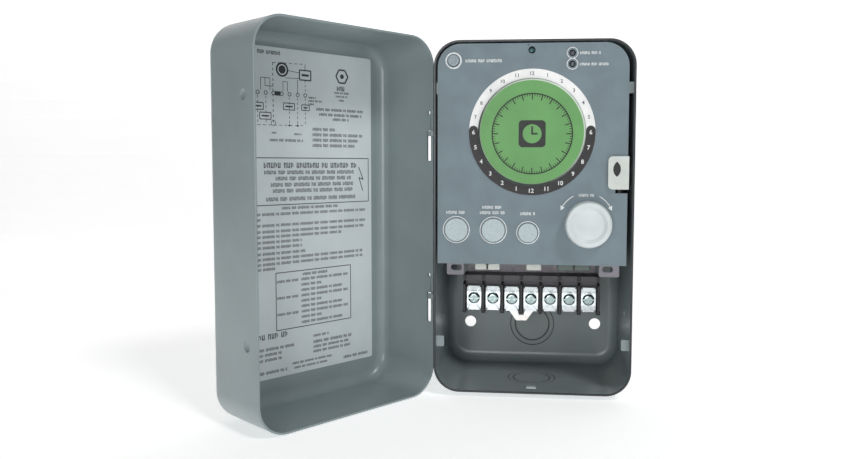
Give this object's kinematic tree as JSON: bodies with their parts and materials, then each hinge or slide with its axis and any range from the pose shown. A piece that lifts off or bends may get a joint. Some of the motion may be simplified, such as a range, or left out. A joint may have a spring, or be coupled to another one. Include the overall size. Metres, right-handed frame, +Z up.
{
  "type": "enclosed time switch",
  "caption": "Wall-mounted enclosed electronic time switch: hinged deep steel cover, dial face with buttons and knob, screw terminals below.",
  "frame": {"origin": "middle of the flat back of the base pan, in the wall plane", "axes": "+X right, +Z up, front faces -Y; +Y is the outward normal of the back"},
  "size_m": [0.2154, 0.1557, 0.202],
  "materials": {
    "base_paint": "satin grey enamel",
    "cover_paint": "satin grey enamel",
    "knockout_paint": "satin grey enamel",
    "label_paper": "matte printed sheet",
    "panel_plastic": "matte moulded",
    "housing_plastic": "matte moulded",
    "scale_print": "printed ring",
    "display_green": "satin translucent",
    "button_plastic": "satin moulded",
    "knob_plastic": "satin moulded",
    "latch_plastic": "satin moulded",
    "lamp_lens": "clear smoked",
    "switch_black": "matte moulded",
    "board_green": "lacquered laminate",
    "board_pale": "lacquered laminate",
    "block_plastic": "matte moulded",
    "screw_dark": "dark blued",
    "plated_steel": "bright zinc plated",
    "tinned_brass": "tinned",
    "relay_white": "matte moulded",
    "relay_grey": "matte moulded",
    "core_steel": "laminated, varnished",
    "coil_tape": "wound and taped"
  },
  "bodies": {
    "base": {"base_enclosure": "base_paint", "knockout_back_ring": "knockout_paint", "knockout_back_disc": "knockout_paint", "knockout_bottom_ring": "knockout_paint", "knockout_bottom_disc": "knockout_paint", "face_panel": "panel_plastic", "panel_screw": "screw_dark", "dial_scale_ring": "scale_print", "dial_display": "display_green", "switch_manual": "switch_black", "switch_set": "switch_black", "switch_program": "switch_black", "switch_clear": "switch_black", "status_lamp_1": "lamp_lens", "status_lamp_2": "lamp_lens", "encoder_body": "switch_black", "module_housing": "housing_plastic", "control_board": "board_green", "main_board": "board_pale", "terminal_block": "block_plastic", "terminal_plate_1": "plated_steel", "terminal_plate_2": "plated_steel", "terminal_plate_3": "plated_steel", "terminal_plate_4": "plated_steel", "terminal_plate_5": "plated_steel", "terminal_plate_6": "plated_steel", "terminal_plate_7": "plated_steel", "terminal_screw_1": "plated_steel", "terminal_screw_2": "plated_steel", "terminal_screw_3": "plated_steel", "terminal_screw_4": "plated_steel", "terminal_screw_5": "plated_steel", "terminal_screw_6": "plated_steel", "terminal_screw_7": "plated_steel", "terminal_link": "tinned_brass", "relay_1": "relay_white", "relay_2": "relay_grey", "film_capacitor": "relay_white", "transformer_core": "core_steel", "transformer_coil": "coil_tape", "smoothing_capacitor": "switch_black", "backup_cell": "plated_steel", "board_connector": "switch_black"},
    "cover": {"cover": "cover_paint", "cover_label": "label_paper"},
    "knob": {"adjust_knob": "knob_plastic", "encoder_shaft": "plated_steel"},
    "latch": {"panel_latch": "latch_plastic"},
    "manual_button": {"button_manual": "button_plastic"},
    "set_button": {"button_set": "button_plastic"},
    "program_button": {"button_program": "button_plastic"},
    "clear_button": {"button_clear": "button_plastic"}
  },
  "joints": [
    {"name": "cover_hinge", "type": "hinge", "parent": "base", "child": "cover", "pos_m": [-0.0569, -0.06575, 0], "axis": [0, 0, 1], "range_deg": [-6.5, 128.5]},
    {"name": "knob_turn", "type": "hinge", "parent": "base", "child": "knob", "pos_m": [0.0305, -0.0715, -0.0024], "axis": [0, -1, 0], "continuous": true},
    {"name": "latch_slide", "type": "slide", "parent": "base", "child": "latch", "axis": [0, 0, -1], "range_m": [0, 0.003]},
    {"name": "manual_press", "type": "slide", "parent": "base", "child": "manual_button", "axis": [0, 1, 0], "range_m": [0, 0.0008], "stiffness_N_per_m": 600, "springref_m": -0.0008},
    {"name": "set_press", "type": "slide", "parent": "base", "child": "set_button", "axis": [0, 1, 0], "range_m": [0, 0.0008], "stiffness_N_per_m": 600, "springref_m": -0.0008},
    {"name": "program_press", "type": "slide", "parent": "base", "child": "program_button", "axis": [0, 1, 0], "range_m": [0, 0.0008], "stiffness_N_per_m": 600, "springref_m": -0.0008},
    {"name": "clear_press", "type": "slide", "parent": "base", "child": "clear_button", "axis": [0, 1, 0], "range_m": [0, 0.0008], "stiffness_N_per_m": 600, "springref_m": -0.0008}
  ]
}
